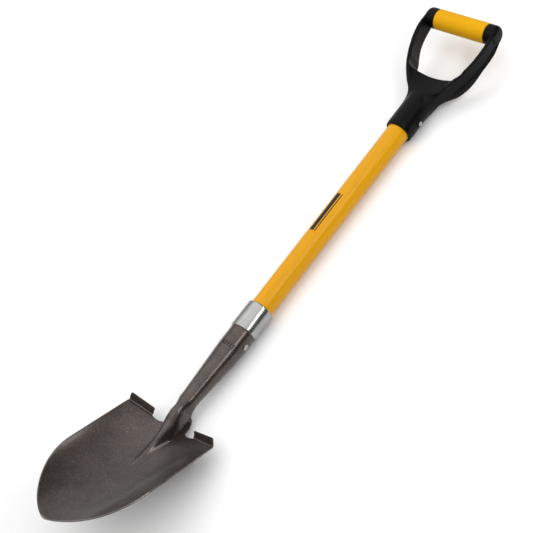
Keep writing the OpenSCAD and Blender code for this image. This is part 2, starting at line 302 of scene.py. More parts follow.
def group(name, inputs, outputs):
    """A new shader node group: inputs by name and default, outputs by name."""
    tree = bpy.data.node_groups.new(name, "ShaderNodeTree")
    for label, value in inputs:
        kind = "NodeSocketColor" if hasattr(value, "__len__") else "NodeSocketFloat"
        sock = tree.interface.new_socket(name=label, in_out="INPUT", socket_type=kind)
        sock.default_value = (*value, 1) if hasattr(value, "__len__") else value
    for label in outputs:
        kind = "NodeSocketColor" if label == "Color" else "NodeSocketFloat"
        tree.interface.new_socket(name=label, in_out="OUTPUT", socket_type=kind)
    return tree, tree.nodes.new("NodeGroupInput"), tree.nodes.new("NodeGroupOutput")


def node(tree, kind, **settings):
    n = tree.nodes.new(kind)
    for key, value in settings.items():
        setattr(n, key, value)
    return n


def link(tree, a, b):
    tree.links.new(a, b)


def feed(tree, value, socket):
    """Gives a socket a number, a colour or another node's output."""
    if isinstance(value, (int, float)):
        socket.default_value = value
    elif hasattr(value, "__len__"):
        socket.default_value = (*value[:3], 1)
    else:
        link(tree, value, socket)


def fed_node(tree, kind, inputs, **settings):
    """A node with its named inputs fed."""
    n = node(tree, kind, **settings)
    for name, value in inputs.items():
        feed(tree, value, n.inputs[name])
    return n


def calc(tree, operation, *values):
    """A Math node on sockets or numbers; returns its output."""
    n = node(tree, "ShaderNodeMath", operation=operation)
    for value, socket in zip(values, n.inputs):
        feed(tree, value, socket)
    return n.outputs[0]


def blend_colour(tree, factor, a, b, mode="MIX"):
    n = node(tree, "ShaderNodeMix", data_type="RGBA", blend_type=mode)
    for value, socket in ((factor, n.inputs[0]), (a, n.inputs[6]), (b, n.inputs[7])):
        feed(tree, value, socket)
    return n.outputs[2]


def noise_at(tree, vector, scale, detail=3.0, rough=0.5):
    n = fed_node(tree, "ShaderNodeTexNoise", {
        "Vector": vector, "Scale": scale, "Detail": detail, "Roughness": rough})
    return n.outputs["Fac"]


def ramp(tree, value, low, high):
    """0 below low, 1 above high."""
    n = fed_node(tree, "ShaderNodeMapRange", {
        "Value": value, "From Min": low, "From Max": high}, clamp=True)
    return n.outputs["Result"]


def scaled(tree, value, low, high):
    """Maps 0..1 to low..high."""
    n = fed_node(tree, "ShaderNodeMapRange", {
        "Value": value, "To Min": low, "To Max": high}, clamp=True)
    return n.outputs["Result"]


def object_point(tree, lengthways=1):
    """The surface point in metres; a small lengthways draws a texture out along the tool."""
    coord = node(tree, "ShaderNodeTexCoord")
    if lengthways == 1:
        return coord.outputs["Object"]
    m = node(tree, "ShaderNodeMapping")
    m.inputs["Scale"].default_value = (1, lengthways, 1)
    link(tree, coord.outputs["Object"], m.inputs["Vector"])
    return m.outputs["Vector"]


def speckle_group():
    """Metallic fleck of a speckled powder coat: colour, gloss variation and fine height."""
    tree, gi, go = group(
        "Speckled Coat",
        [("Coat", (0.2, 0.17, 0.16)), ("Fleck", (0.5, 0.48, 0.45)),
         ("Grain per metre", 700.0), ("Fleck amount", 0.5)],
        ["Color", "Roughness", "Height"])
    p = object_point(tree)
    fine = noise_at(tree, p, gi.outputs["Grain per metre"], 2.0, 0.6)
    coarse = noise_at(tree, p, 55.0, 3.0, 0.55)
    broad = noise_at(tree, p, 9.0, 2.0, 0.5)
    mottle = ramp(tree, coarse, 0.35, 0.68)
    dark = blend_colour(tree, mottle, (0.80, 0.79, 0.79), (1.12, 1.11, 1.10))
    base = blend_colour(tree, 1.0, gi.outputs["Coat"], dark, "MULTIPLY")
    cloud = ramp(tree, broad, 0.38, 0.64)
    tint = blend_colour(tree, cloud, (0.90, 0.84, 0.83), (1.05, 1.06, 1.07))
    base = blend_colour(tree, 1.0, base, tint, "MULTIPLY")
    flecks = calc(tree, "MULTIPLY", ramp(tree, fine, 0.55, 0.72), gi.outputs["Fleck amount"])
    pits = ramp(tree, fine, 0.42, 0.30)
    colour = blend_colour(tree, flecks, base, gi.outputs["Fleck"])
    colour = blend_colour(tree, calc(tree, "MULTIPLY", pits, 0.45), colour, (0.016, 0.013, 0.012))
    link(tree, colour, go.inputs["Color"])
    link(tree, calc(tree, "MULTIPLY_ADD", coarse, 0.22, 0.5), go.inputs["Roughness"])
    link(tree, fine, go.inputs["Height"])
    return tree


def wear_group():
    """Mask of rubbed spots: a stored closeness to an edge, broken up by noise."""
    tree, gi, go = group(
        "Rubbed Edge", [("Closeness", 0.0), ("Break up per metre", 160.0), ("Amount", 0.6)],
        ["Mask"])
    n = noise_at(tree, object_point(tree), gi.outputs["Break up per metre"], 4.0, 0.65)
    edge = calc(tree, "ADD", gi.outputs["Closeness"], calc(tree, "SUBTRACT", n, 0.62))
    mask = calc(tree, "MULTIPLY", ramp(tree, edge, 0.28, 0.62), gi.outputs["Amount"])
    link(tree, mask, go.inputs["Mask"])
    return tree


def grain_group():
    """Fine moulded or drawn grain: height, and a slow mask for colour and gloss."""
    tree, gi, go = group(
        "Fine Grain", [("Grain per metre", 900.0), ("Cloud per metre", 25.0)],
        ["Height", "Cloud", "Scuff"])
    p = object_point(tree)
    link(tree, noise_at(tree, p, gi.outputs["Grain per metre"], 2.0, 0.6), go.inputs["Height"])
    link(tree, noise_at(tree, p, gi.outputs["Cloud per metre"], 4.0, 0.6), go.inputs["Cloud"])
    scratch = noise_at(tree, object_point(tree, 0.12), 420.0, 3.0, 0.7)
    link(tree, ramp(tree, scratch, 0.60, 0.74), go.inputs["Scuff"])
    return tree


def shared(name, build):
    """The shared node group of that name, built the first time it is asked for."""
    return bpy.data.node_groups.get(name) or build()


def use(tree, group_tree, **values):
    """A shared group placed in a material, with its own values."""
    inputs = {key.replace("_", " "): value for key, value in values.items()}
    return fed_node(tree, "ShaderNodeGroup", inputs, node_tree=group_tree)


def fine_grain(tree, grain, cloud):
    """The Fine Grain group, with its grain and clouds in features per metre."""
    return use(tree, shared("Fine Grain", grain_group), Grain_per_metre=grain,
               Cloud_per_metre=cloud)


def rubbed(tree, break_up, amount):
    """Mask of the rubbed spots, from the closeness to an edge stored on the mesh."""
    return use(tree, shared("Rubbed Edge", wear_group), Closeness=stored(tree, "rub"),
               Break_up_per_metre=break_up, Amount=amount).outputs["Mask"]


def surface(name, roughness=0.4, metallic=0.0, **extra):
    """A material with a Principled shader; extra sets its constant sockets."""
    mat = bpy.data.materials.new(name)
    mat.use_nodes = True
    tree = mat.node_tree
    bsdf = tree.nodes["Principled BSDF"]
    bsdf.inputs["Roughness"].default_value = roughness
    bsdf.inputs["Metallic"].default_value = metallic
    for key, value in extra.items():
        bsdf.inputs[key.replace("_", " ")].default_value = value
    return mat, tree, bsdf


def bump(tree, bsdf, height, strength, distance):
    n = fed_node(tree, "ShaderNodeBump", {
        "Height": height, "Strength": strength, "Distance": distance})
    link(tree, n.outputs["Normal"], bsdf.inputs["Normal"])


def stored(tree, name):
    return node(tree, "ShaderNodeAttribute", attribute_name=name).outputs["Fac"]


# ---- materials ----

def coat_material(settings):
    """Metallic powder coat, rubbed to bare steel at the rim, with painted shade in the stamped
    strokes.
    """
    mat, tree, bsdf = surface(
        "speckled bronze coat", 0.32, 0.88, Coat_Weight=0.6, Coat_Roughness=0.2)
    fleck = use(tree, shared("Speckled Coat", speckle_group), Coat=settings.coat,
                Fleck=settings.fleck, Grain_per_metre=780.0, Fleck_amount=0.42)
    wear = rubbed(tree, 210.0, 0.75)
    colour = blend_colour(tree, wear, fleck.outputs["Color"], settings.bare)
    # painted shade: the floor of each stamped stroke is darkened to near black
    colour = blend_colour(tree, stored(tree, "stroke_shade"), colour, (0.008, 0.007, 0.006))
    link(tree, colour, bsdf.inputs["Base Color"])
    rough = calc(tree, "ADD", scaled(tree, fleck.outputs["Roughness"], 0.27, 0.40),
                 calc(tree, "MULTIPLY", wear, -0.12))
    link(tree, rough, bsdf.inputs["Roughness"])
    bump(tree, bsdf, fleck.outputs["Height"], 0.6, 0.00022)
    return mat


def steel_material(settings):
    """Drawn steel with slow clouds in its shine and fine scuffs."""
    mat, tree, bsdf = surface("bright drawn steel", 0.2, 1.0)
    grain = fine_grain(tree, 650.0, 60.0)
    cloud = ramp(tree, grain.outputs["Cloud"], 0.35, 0.7)
    dull = tuple(c * 0.84 for c in settings.steel)
    colour = blend_colour(tree, cloud, settings.steel, dull)
    scuff = calc(tree, "MULTIPLY", grain.outputs["Scuff"], 0.35)
    colour = blend_colour(tree, scuff, colour, (0.24, 0.24, 0.24))
    link(tree, colour, bsdf.inputs["Base Color"])
    link(tree, scaled(tree, cloud, 0.20, 0.30), bsdf.inputs["Roughness"])
    bump(tree, bsdf, grain.outputs["Height"], 0.05, 0.0001)
    return mat


def resin_material(settings):
    """Glossy pigmented resin with drawn glass strands faintly showing, and the printed bars."""
    mat, tree, bsdf = surface("golden resin", 0.3, 0.0, Specular_IOR_Level=0.18)
    grain = fine_grain(tree, 500.0, 35.0)
    strands = noise_at(tree, object_point(tree, 0.02), 900.0, 3.0, 0.6)
    deep = tuple(c * 0.86 for c in settings.yellow)
    colour = blend_colour(tree, ramp(tree, strands, 0.35, 0.7), settings.yellow, deep)
    scuff = calc(tree, "MULTIPLY", grain.outputs["Scuff"], 0.10)
    colour = blend_colour(tree, scuff, colour, (0.93, 0.62, 0.16))
    ink = ramp(tree, stored(tree, "print"), 0.4, 0.6)
    colour = blend_colour(tree, ink, colour, settings.print_colour)
    link(tree, colour, bsdf.inputs["Base Color"])
    link(tree, scaled(tree, grain.outputs["Cloud"], 0.24, 0.36), bsdf.inputs["Roughness"])
    bump(tree, bsdf, strands, 0.10, 0.0001)
    return mat


def moulded_material(name, colour, roughness, lighter, grain_strength, gloss):
    """Satin moulding with a fine spark-eroded grain and faint handling marks."""
    def toned(gain, lift=0.0):
        return tuple(min(c * gain + lift, 1) for c in colour)

    mat, tree, bsdf = surface(name, roughness, 0.0, Specular_IOR_Level=gloss)
    grain = fine_grain(tree, 1300.0, 40.0)
    cloud = ramp(tree, grain.outputs["Cloud"], 0.3, 0.75)
    tone = blend_colour(tree, cloud, colour, toned(lighter))
    tone = blend_colour(tree, rubbed(tree, 120.0, 0.5), tone, toned(1.5, 0.006))
    scuff = calc(tree, "MULTIPLY", grain.outputs["Scuff"], 0.12)
    tone = blend_colour(tree, scuff, tone, toned(1.8, 0.010))
    link(tree, tone, bsdf.inputs["Base Color"])
    rough = scaled(tree, grain.outputs["Cloud"], roughness - 0.06, roughness + 0.08)
    link(tree, rough, bsdf.inputs["Roughness"])
    bump(tree, bsdf, grain.outputs["Height"], grain_strength, 0.00012)
    return mat


def wood_material():
    """Plain hardwood for the plugs inside the shaft."""
    mat, tree, bsdf = surface("turned hardwood", 0.6)
    rings = noise_at(tree, object_point(tree, 0.05), 320.0, 4.0, 0.6)
    pores = noise_at(tree, object_point(tree, 0.08), 1500.0, 2.0, 0.5)
    colour = blend_colour(tree, ramp(tree, rings, 0.3, 0.7), (0.52, 0.34, 0.17), (0.36, 0.21, 0.10))
    colour = blend_colour(tree, ramp(tree, pores, 0.62, 0.75), colour, (0.2, 0.11, 0.05))
    link(tree, colour, bsdf.inputs["Base Color"])
    bump(tree, bsdf, rings, 0.2, 0.0002)
    return mat


# ---- the head's shape ----

HALF_W = 74.8
SIDE_LEN, NOSE_LEN = 91.5, 103.3
STEP_Y = -193.5
NOSE_Y = STEP_Y - SIDE_LEN
RIM_LOW, RIM_SLOPE = 7.2, 0.52
FROG_RISE, FROG_KNEE_Y, TOE_Y = 18.4, -200, -274
NECK_Y = -146
CUT_Y = STEP_Y - 1.4
FLARE_W = 19.4
DISH_DEPTH, NOSE_DEPTH = 16.1, 28.3
INNER_SHARE = 0.34
SOCKET_LOW, SOCKET_BEND = -33, -70
SOCKET_R1 = 12.95
TILT = radians(2.5)


def nose_share(y):
    """0 where the blade's sides begin to curve in, 1 at the tip."""
    return clamp((NOSE_Y - y) / NOSE_LEN, 0, 1)


def width_at(y):
    """Half width of the blade."""
    q = nose_share(y)
    return HALF_W * max(1 - q * q, 0) ** 0.7


def rim_at(y):
    """Height of the blade's edge."""
    if y > NOSE_Y:
        return RIM_LOW + RIM_SLOPE * (STEP_Y - y)
    q = nose_share(y)
    return RIM_LOW + RIM_SLOPE * SIDE_LEN + 53.1 * q - 46.1 * q * q + 30.5 * q ** 3


def dish_at(y):
    """How far the middle of the blade lies below its side edges."""
    if y > NOSE_Y:
        return DISH_DEPTH + 12.2 * sin(pi / 2 * clamp((STEP_Y - y) / SIDE_LEN, 0, 1))
    return NOSE_DEPTH * (width_at(y) / HALF_W) ** 2.5


def dish(x, y):
    """Height of the blade's front face without the frog."""
    u = abs(x) / (HALF_W if y > NOSE_Y else max(width_at(y), 0.01))
    vee = (sqrt(u * u + 0.1225) - 0.35) / (sqrt(1.1225) - 0.35)
    pan = 0.75 * u * u + 0.25 * u ** 4
    if y > STEP_Y:
        return rim_at(STEP_Y) - DISH_DEPTH - 0.022 * (y - STEP_Y) + DISH_DEPTH * vee
    return rim_at(y) - dish_at(y) + dish_at(y) * mix(vee, pan, smooth((STEP_Y - y) / 52))


def frog_height(y):
    """Rise of the frog's crest above the dish."""
    if y > FROG_KNEE_Y:
        return FROG_RISE + 8 * sin(pi / 2 * clamp((y - FROG_KNEE_Y) / 24, 0, 1))
    return FROG_RISE * max((y - TOE_Y) / (FROG_KNEE_Y - TOE_Y), 0) ** 1.9


def frog_half(y):
    """Half width of the frog at its foot."""
    above = mix(14, 12.6, clamp((y - STEP_Y) / 34, 0, 1))
    below = max(14 - 10.8 * (STEP_Y - y) / (STEP_Y - TOE_Y), 2.6)
    narrow = flare_at(y) * 0.78
    if y > CUT_Y:
        return min(above, narrow)
    full = min(below, width_at(y) * 0.2)
    return mix(min(narrow, full), full, smooth((CUT_Y - y) / 14))


def flare_at(y):
    """Half width of the opened sheet between the neck and the blade."""
    return mix(12.9, FLARE_W, smooth((-166 - y) / 20))


def inner_at(y):
    """Where the inner columns of the sheet end."""
    if y > CUT_Y:
        return flare_at(y)
    share = width_at(y) * INNER_SHARE
    return mix(FLARE_W, share, smooth((CUT_Y - y) / 50)) if y > NOSE_Y else share


def open_point(s, y):
    """A point of the opened sheet: s = 0 crest of the frog, 0.5 its foot, 1 last inner column."""
    foot = frog_half(y)
    soft = smooth((-188 - y) / 42)
    if s < 0.5:
        a = pi / 2 * s * 2
        x = foot * mix(sin(a), s * 2, soft)
        return Vector((x, y, dish(x, y) + frog_height(y) * mix(cos(a), cos(a) ** 2, soft)))
    x = mix(foot, inner_at(y), s * 2 - 1)
    return Vector((x, y, dish(x, y)))


def rolled_point(s, y, socket_r):
    """A point of the rolled socket: s = 0 at the front, 1 at the seam along the back."""
    a = radians(178.5) * s
    r = mix(socket_r, SOCKET_R1, clamp((SOCKET_BEND - y) / (SOCKET_BEND - NECK_Y), 0, 1.06))
    centre = (SOCKET_BEND - min(y, SOCKET_BEND)) * tan(TILT)
    centre = mix(centre, (SOCKET_BEND + 152) * tan(TILT), smooth((-146 - y) / 20))
    return Vector((r * sin(a), y, centre + r * cos(a)))


def sheet_point(s, y, socket_r):
    """A point of the sheet where the rolled socket opens out into the blade."""
    m = smooth((NECK_Y - 11 - y) / 23)
    if m <= 0:
        return rolled_point(s, y, socket_r)
    if m >= 1:
        return open_point(s, y)
    return rolled_point(s, y, socket_r).lerp(open_point(s, y), m)


INNER, OUTER = 44, 34


def sheet_grid(socket_r):
    """Points of the front face as rows of columns, from the left edge to the right."""
    rows = spread(SOCKET_LOW, NECK_Y, 22, False) + spread(NECK_Y, CUT_Y, 42, False)
    rows += spread(CUT_Y, NOSE_Y, 46, False)
    rows += [NOSE_Y - NOSE_LEN * min(sin(pi / 2 * k / 44), 0.9994) for k in range(45)]
    grid = []
    for y in rows:
        half = [sheet_point(i / INNER, y, socket_r) for i in range(INNER + 1)]
        if y <= CUT_Y + 1e-6:
            x0, x1 = inner_at(y), width_at(y)
            half += [Vector((x, y, dish(x, y))) for x in spread(x0, x1, OUTER)[1:]]
        grid.append([Vector((-p.x, p.y, p.z)) for p in half[:0:-1]] + half)
    return grid


def sheet_shell(grid, thickness, rim=0.45):
    """Thickens the front face backwards, with a rounded rim all the way round."""
    verts, number = [], []
    for row in grid:
        number.append(range(len(verts), len(verts) + len(row)))
        verts += row
    faces = []
    for upper, lower in zip(number, number[1:]):
        shift = (len(lower) - len(upper)) // 2
        for j in range(len(upper) - 1):
            faces.append((upper[j], lower[j + shift], lower[j + 1 + shift], upper[j + 1]))
    front = bpy.data.meshes.new("front")
    front.from_pydata([tuple(v) for v in verts], [], faces)
    front.update()
    normals = [v.normal.copy() for v in front.vertices]
    bpy.data.meshes.remove(front)
    count = len(verts)
    border = {}
    for f in faces:
        for a, b in zip(f, f[1:] + f[:1]):
            if (b, a) in border:
                del border[(b, a)]
            else:
                border[(a, b)] = True
    outward = {}
    for a, b in border:
        side = (verts[b] - verts[a]).cross((normals[a] + normals[b]) / 2)
        if side.length > 1e-9:
            side.normalize()
            for v in (a, b):
                outward[v] = outward.get(v, Vector((0, 0, 0))) + side
    back = [p - n * thickness for p, n in zip(verts, normals)]
    ring = {}
    whole = list(verts) + back
    for v, side in outward.items():
        side = side.normalized() if side.length > 1e-9 else Vector((0, 0, 0))
        p, q = verts[v], back[v]
        whole[v] = p - side * rim
        whole[count + v] = q - side * rim
        ring[v] = []
        for share, pull in ((0.12, 0.13), (0.3, 0.0), (0.7, 0.0), (0.88, 0.13)):
            ring[v].append(len(whole))
            whole.append(p.lerp(q, share) - side * rim * pull)
    solid = list(faces) + [tuple(count + v for v in reversed(f)) for f in faces]
    for a, b in border:
        left = [a] + ring[a] + [count + a]
        right = [b] + ring[b] + [count + b]
        for k in range(len(left) - 1):
            solid.append((right[k], left[k], left[k + 1], right[k + 1]))
    return whole, solid


STEP_IN = 36.6
STEP_SLOPES = (radians(-23.4), radians(52))
BEND_R = 1.8


def step_shell(sheet, width, side):
    """One step as a closed strip: a bend from the blade's top edge, then a rounded flat."""
    inner_r, outer_r = 2, 2.6
    x1 = HALF_W - 0.6
    z0, z1 = dish(STEP_IN, STEP_Y), dish(x1, STEP_Y)
    tilt = atan((z1 - z0) / (x1 - STEP_IN))
    length = (x1 - STEP_IN) / cos(tilt)
    low, high = STEP_SLOPES
    t = BEND_R * tan((high - low) / 2)
    d1, d2 = Vector((cos(low), sin(low))), Vector((cos(high), sin(high)))
    n1, n2 = Vector((-d1.y, d1.x)), Vector((-d2.y, d2.x))
    centre = -t * d1 + BEND_R * n1
    arc = [Vector((-sin(a), cos(a))) for a in spread(low, high, 12)]
    columns = sorted(set(
        [length * k / 30 for k in range(31)]
        + [inner_r - inner_r * cos(pi / 2 * k / 6) for k in range(7)]
        + [length - outer_r + outer_r * sin(pi / 2 * k / 8) for k in range(9)]))
    verts = []
    for u in columns:
        reach = width - 1.6 * (1 - u / length)
        if u < inner_r:
            reach -= inner_r - sqrt(max(inner_r ** 2 - (inner_r - u) ** 2, 0))
        if u > length - outer_r:
            reach -= outer_r - sqrt(max(outer_r ** 2 - (u - length + outer_r) ** 2, 0))
        section = [-(t + 3) * d1 - 0.25 * n1, -(t + 0.1) * d1 - 0.18 * n1]
        section += [centre - BEND_R * n for n in arc]
        section += [(reach - back) * d2 - down * n2 for back, down in (
            (0.5, 0), (0.15, 0.15), (0, 0.5), (0, sheet - 0.5), (0.15, sheet - 0.15),
            (0.5, sheet))]
        section += [centre - (BEND_R + sheet) * n for n in reversed(arc)]
        section += [-(t + 0.1) * d1 - (sheet - 0.18) * n1, -(t + 3) * d1 - (sheet - 0.25) * n1]
        x = STEP_IN + u * cos(tilt)
        lift = dish(x, STEP_Y) - mix(z0, z1, u / length)
        for p in section:
            verts.append(Vector((side * (x - p.y * sin(tilt)), STEP_Y + p.x,
                                 z0 + u * sin(tilt) + p.y * cos(tilt) + lift)))
    return verts, loft_faces(len(columns), len(section))


def notch_outline():
    """The rounded slot between a step and the frog."""
    mid, r = STEP_Y + 2.6, 5.6
    turn = [(r * sin(radians(a)), r * cos(radians(a))) for a in range(0, 181, 6)]
    return [(30.9 + dx, mid + dy) for dx, dy in turn] + [(25.2 - dx, mid - dy) for dx, dy in turn]


def rub_on_head(x, y, z):
    """Closeness to the blade's cutting rim, strongest round the tip."""
    if y > STEP_Y + 2:
        return 0.0
    gap = width_at(y) - abs(x)
    if y <= NOSE_Y:
        gap = min(gap, (1 - hypot(abs(x) / HALF_W, nose_share(y) ** 1.15)) * 80)
    tip = smooth((NOSE_Y + 20 - y) / 60)
    return clamp(1 - gap / mix(1.6, 3.2, tip), 0, 1) * mix(0.55, 1.0, tip)


STROKE_ARCS = range(-4, 17, 4)
STROKE_LOW, STROKE_HIGH = -72.0, -65.4
STROKE_FLOOR, STROKE_SKIN, STROKE_TOP = 17.0, 17.8, 19.5


def stamped(x, y, z):
    """Mask of the floor of the stamped strokes, where painted shade darkens the coat."""
    inside = STROKE_LOW - 0.5 < y < STROKE_HIGH + 0.4 and z > 0
    return 1.0 if inside and STROKE_FLOOR - 0.4 < hypot(x, z) < STROKE_FLOOR + 0.5 else 0.0


def stroke_cutter(arc):
    """Cutter for one plain stroke on the socket, `arc` millimetres round from its front."""
    def place(u, v, w):
        a = (arc + u) / STROKE_SKIN
        return at(w * sin(a), v, w * cos(a))

    y0, y1, half = STROKE_LOW, STROKE_HIGH, 0.9
    outline = [(-half, y0 + 0.5), (-half * 0.4, y0), (half * 0.4, y0), (half, y0 + 0.5),
               (half, y1 - 0.5), (half * 0.4, y1), (-half * 0.4, y1), (-half, y1 - 0.5)]
    return prism("stroke", outline, place, STROKE_FLOOR, STROKE_TOP)


# ---- the shaft's print ----

PRINT_LOW, PRINT_HIGH, PRINT_ARC = 128.0, 194.0, -8.0


def printed_bars(x, y, z):
    """Mask of a plain bar with a thinner one beside it, on the front left of the shaft."""
    behind = z < 0 and abs(x) < 10
    if behind or not PRINT_LOW < y < PRINT_HIGH:
        return 0.0
    arc = atan2(x, z) * SHAFT_R
    wide = PRINT_ARC < arc < PRINT_ARC + 7
    thin = PRINT_ARC + 9 < arc < PRINT_ARC + 10.4
    return 1.0 if wide or thin else 0.0


# ---- the grip's shape ----

HUB_Y = SOCKET_Y + 46.1
LEAN = atan(BAR_Z / (BAR_Y - HUB_Y))
BAR_Q = hypot(BAR_Z, BAR_Y - HUB_Y)
ARM_R, ARM_T, ARM_D = 152.0, 5.5, 28.6
ARM_CX, ARM_CQ = 60 - ARM_R, BAR_Q - 16
ARM_START, YOKE_START, YOKE_END = 90, -13, 96
CHANNEL_START, CHANNEL_DEPTH, CHANNEL_RIM = 34, 2.4, 3.2
HUB_R = 20.2
SWELL, WAIST = 9, 3


def arm_x(q, r):
    """Half width of the D at q up the grip, for a curve of radius r."""
    return ARM_CX + sqrt(max(r * r - (min(q, ARM_CQ) - ARM_CQ) ** 2, 0))


def in_d(x, q, n):
    """The plane of the D: x across, q up the grip, n out of its front."""
    return at(x, HUB_Y + q * cos(LEAN) - n * sin(LEAN), q * sin(LEAN) + n * cos(LEAN))


def open_bottom(x):
    """The lower edge of the hand opening."""
    return 50.2 + x * x / 260


def opening_outline():
    """The hand opening, in the plane of the D."""
    fillet, corner, inner = 15, 6, ARM_R - ARM_T
    fq = open_bottom(24) + fillet
    fx = arm_x(fq, inner) - fillet + 0.6
    half = [(k * 2.6, open_bottom(k * 2.6)) for k in range(9)]
    half += arc_points(fx, fq, fillet, range(-75, -10, 5))
    half += [(arm_x(q, inner), q) for q in spread(fq + 3, BAR_Q - 23, 30)]
    half += arc_points(arm_x(BAR_Q, inner) - corner, BAR_Q - 23, corner, range(15, 80, 10))
    half += [(46, BAR_Q - 16.6)]
    return half + [(-x, q) for x, q in half[:0:-1]]


def rear_swell(q):
    """How much deeper the arms reach backwards where they leave the yoke."""
    return (SWELL * smooth((q - 29) / 22) * (1 - smooth((q - 60) / 38))
            - WAIST * smooth((q - 8) / 14) * (1 - smooth((q - 26) / 14)))


def yoke_half(y):
    """Right half of the section of the yoke at y, from the front centre to the back centre."""
    m = smooth((y - HUB_Y + 12) / 40)
    zc = (y - HUB_Y) * tan(LEAN)
    grow = smooth((y - HUB_Y - 5) / 44)
    fall = smooth((y - HUB_Y + 4) / 54)
    deep = ARM_D / 2 / cos(LEAN)
    top, bot = mix(15.9, zc + deep, grow), mix(-15.9, zc - deep, grow)
    bot -= rear_swell(y - HUB_Y)
    front = max(zc + 2.5, mix(HUB_R, 14.3, fall))
    rear = min(zc - 6.5, mix(-HUB_R, 5.3, fall))
    wide = smooth((y - HUB_Y - 5) / 24)

    def out_x(z):
        a, b = arm_x((y - HUB_Y) * cos(LEAN) + z * sin(LEAN), ARM_R), HUB_R - 1
        return (a + b + hypot(a - b, 8 * (1 - smooth((y - HUB_Y - 14) / 30)))) / 2
    xt, xb = mix(12.4, out_x(top), wide), mix(12.4, out_x(bot), wide)
    rim = ARM_T * wide
    shares = (0, 0.15, 0.3, 0.45, 0.6, 0.75, 0.88)
    target = [(t * (xt - rim), front + (top - front) * t ** 3 * 0.8) for t in shares]
    target += [(xt - rim, top - 0.5), (xt - 0.9, top), (xt, top - 0.9)]
    target += [(out_x(mix(top, bot, t)), mix(top, bot, t)) for t in (0.12, 0.3, 0.5, 0.7, 0.88)]
    target += [(xb, bot + 0.9), (xb - 0.9, bot), (xb - rim, bot + 0.5)]
    target += [(t * (xb - rim), rear + (bot - rear) * t ** 3 * 0.8) for t in reversed(shares)]
    angles = (0, 5, 10, 15, 20, 25, 30, 34, 38, 43, 55, 72, 90, 108, 125,
              137, 142, 146, 150, 155, 160, 165, 170, 175, 180)
    return [(mix(HUB_R * sin(radians(a)), p[0], m), mix(HUB_R * cos(radians(a)), p[1], m))
            for a, p in zip(angles, target)]


def yoke_solid():
    """The web and the lower arms, from inside the socket to above the hand opening's foot."""
    verts = []
    ys = spread(HUB_Y + YOKE_START, HUB_Y + YOKE_END, 76)
    for y in ys:
        half = yoke_half(y)
        verts += [at(x, y, z) for x, z in half] + [at(-x, y, z) for x, z in half[-2:0:-1]]
    return solid("yoke", verts, loft_faces(len(ys), 2 * len(half) - 2))


def band(q0, q1, offset_out, offset_in):
    """Outline of a strip that follows the arm's outer curve."""
    qs = spread(q0, q1, 40)
    outside = [(arm_x(q, ARM_R) + offset_out(q), q) for q in qs]
    return outside + [(arm_x(q, ARM_R) + offset_in(q), q) for q in qs[::-1]]


def elbow_envelope():
    """What the arms must stay inside: square-edged below, rounding off towards the hand bar."""
    rings = ((-40, 0.6), (BAR_Q - 28.5, 0.6), (BAR_Q - 20, 2.2), (BAR_Q - 12, 4.6),
             (BAR_Q - 3, 8), (BAR_Q + 16, 8))
    wide, deep = 60.2, 14.85
    verts = []
    for q, r in rings:
        for cx, cn, start in ((1, 1, 0), (-1, 1, 90), (-1, -1, 180), (1, -1, 270)):
            corner = arc_points(cx * (wide - r), cn * (deep - r), r, range(start, start + 91, 15))
            verts += [in_d(x, q, n) for x, n in corner]
    return solid("envelope", verts, loft_faces(len(rings), len(verts) // len(rings)))


def arm_solid(side):
    """One arm above the yoke, rounding off towards the hand bar."""
    strip = band(ARM_START, BAR_Q + 1, lambda q: 0, lambda q: -ARM_T)
    arm = prism("arm", strip, mirrored(in_d, side), -ARM_D / 2, ARM_D / 2)
    return combine(arm, elbow_envelope(), "INTERSECT")


def channel_cutter(side):
    """The shallow channel along the outside of one arm."""
    cut = band(CHANNEL_START, BAR_Q - 9, lambda q: 3,
               lambda q: -CHANNEL_DEPTH * smooth((q - CHANNEL_START) / 20))
    low, high = -ARM_D / 2 + CHANNEL_RIM, ARM_D / 2 - CHANNEL_RIM
    return prism("channel", cut, mirrored(in_d, side), low, high)


def bar_end(side):
    """One rounded end of the hand bar, outside the sleeve."""
    inner, corner, outer = SLEEVE_HALF + 0.2, 8, 60.2
    profile = [(0.0, inner), (SLEEVE_R - 0.1, inner)]
    profile += arc_points(SLEEVE_R - 8.1, 52.2, corner, range(0, 91, 6)) + [(0.0, outer)]
    return lathe("bar_end", [(r, t * side) for r, t in profile], along_bar, 96)


def socket_hub():
    """The round socket that the shaft goes into, still solid."""
    profile = [(0, SOCKET_Y + 1), (18.3, SOCKET_Y), (19.2, SOCKET_Y + 0.4),
               (HUB_R - 0.3, SOCKET_Y + 1.6), (HUB_R, SOCKET_Y + 6), (HUB_R, HUB_Y + 1),
               (17, HUB_Y + 7), (0, HUB_Y + 9)]
    return lathe("hub", profile, along_y, 120)


def rivet_boss():
    """The low round boss under each head of the grip's rivet."""
    r, t = 5.8, 21.5
    profile = [(0, -t), (5.5, -t), (r, -21.2), (r, 21.2), (5.5, t), (0, t)]
    return lathe("boss", profile, across_at(GRIP_RIVET_Y), 64)


def shaft_bore():
    """Cutter for the inside of the grip's socket, with a lead-in at its mouth."""
    r, depth = SHAFT_R + 0.05, 43.1
    profile = [(0, SOCKET_Y - 2), (SHAFT_R + 1.05, SOCKET_Y - 2), (r, SOCKET_Y + 1),
               (r, SOCKET_Y + depth), (0, SOCKET_Y + depth)]
    return lathe("bore", profile, along_y, 120)


def mould_skin(body, facet):
    """Turns the joined solids into one skin with small soft fillets."""
    skin = body.modifiers.new("mould", "REMESH")
    skin.mode = "VOXEL"
    skin.voxel_size = facet
    skin.adaptivity = 0
    fillets = body.modifiers.new("fillets", "SMOOTH")
    fillets.factor = 0.5
    fillets.iterations = 7
    bake_modifiers(body)


# ---- pieces ----

